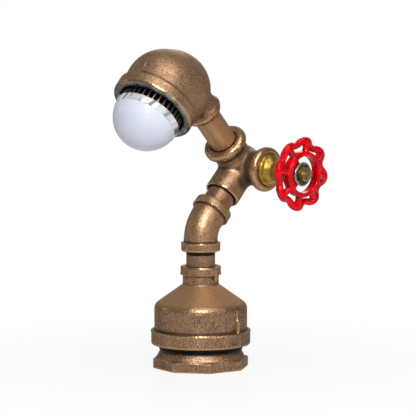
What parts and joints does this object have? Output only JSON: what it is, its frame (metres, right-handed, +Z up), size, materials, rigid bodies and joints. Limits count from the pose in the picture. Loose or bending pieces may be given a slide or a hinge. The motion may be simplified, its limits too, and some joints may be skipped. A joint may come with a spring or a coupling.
{
  "type": "industrial pipe table lamp",
  "caption": "Table lamp made of bronze-coloured pipe fittings, with a red valve handwheel as its switch and a hooded head that holds a finned bulb.",
  "frame": {"origin": "centre of the base's underside, on the surface that the lamp stands on, under the vertical pipe", "axes": "+Z up, the head leans towards -Y, the valve handwheel points towards +X"},
  "size_m": [0.1031, 0.1593, 0.2371],
  "materials": {
    "cast_bronze": "antique bronze paint on rough casting, worn to gold on the edges",
    "pipe_bronze": "antique bronze paint on smooth pipe",
    "yellow_brass": "turned, satin, slightly tarnished",
    "red_enamel": "glossy red enamel",
    "plate_steel": "stamped, dark recesses",
    "stem_steel": "turned",
    "black_plastic": "matt",
    "pale_plastic": "satin",
    "black_rubber": "matt",
    "grey_lead": "matt",
    "zinc_steel": "zinc plated",
    "contact_brass": "bright",
    "opal_dome": "opal, satin gloss",
    "bright_aluminium": "polished",
    "black_sink": "black anodised, bright machined fin edges",
    "plated_cap": "nickel plated brass"
  },
  "bodies": {
    "base": {"base_bushing": "cast_bronze", "base_cover": "black_plastic", "terminal_block": "pale_plastic", "bell_reducer": "cast_bronze", "cord_grommet": "black_rubber", "lower_nipple": "pipe_bronze", "lead_base": "grey_lead"},
    "neck": {"elbow_45": "cast_bronze", "upper_nipple": "pipe_bronze", "lead_neck": "grey_lead"},
    "corner": {"corner_fitting": "cast_bronze", "valve_bonnet": "yellow_brass", "packing_nut": "yellow_brass", "gland_packing": "black_rubber", "switch_body": "black_plastic", "arm_pipe": "pipe_bronze", "lead_arm": "grey_lead"},
    "valve": {"switch_shaft": "stem_steel", "valve_stem": "stem_steel", "handwheel": "red_enamel", "wheel_plate": "plate_steel", "wheel_nut": "yellow_brass"},
    "head": {"head_elbow": "cast_bronze", "mounting_ring": "zinc_steel", "lampholder_body": "black_plastic", "ring_nut": "black_plastic", "screw_shell": "contact_brass", "centre_contact": "contact_brass", "lead_head": "grey_lead"},
    "bulb": {"bulb_dome": "opal_dome", "bulb_collar": "bright_aluminium", "led_board": "pale_plastic", "heat_sink": "black_sink", "driver_cup": "pale_plastic", "screw_cap": "plated_cap", "cap_insulator": "black_plastic", "tip_contact": "contact_brass"}
  },
  "joints": [
    {"name": "neck_swivel", "type": "hinge", "parent": "base", "child": "neck", "pos_m": [0, 0, 0.1037], "axis": [0, 0, 1], "range_deg": [-90, 90]},
    {"name": "corner_swivel", "type": "hinge", "parent": "neck", "child": "corner", "pos_m": [0, 0.04236, 0.14606], "axis": [0, 0.7071, 0.7071], "range_deg": [-45, 45]},
    {"name": "head_swivel", "type": "hinge", "parent": "corner", "child": "head", "pos_m": [0.00551, -0.03193, 0.22034], "axis": [0.0523, -0.7061, 0.7061], "range_deg": [-60, 60]},
    {"name": "valve_turn", "type": "hinge", "parent": "corner", "child": "valve", "pos_m": [0, 0.04236, 0.14606], "axis": [0.9986, 0.037, -0.037], "range_deg": [0, 270]},
    {"name": "bulb_out", "type": "slide", "parent": "head", "child": "bulb", "axis": [0.0523, -0.7042, -0.7081], "range_m": [0, 0.05]}
  ]
}
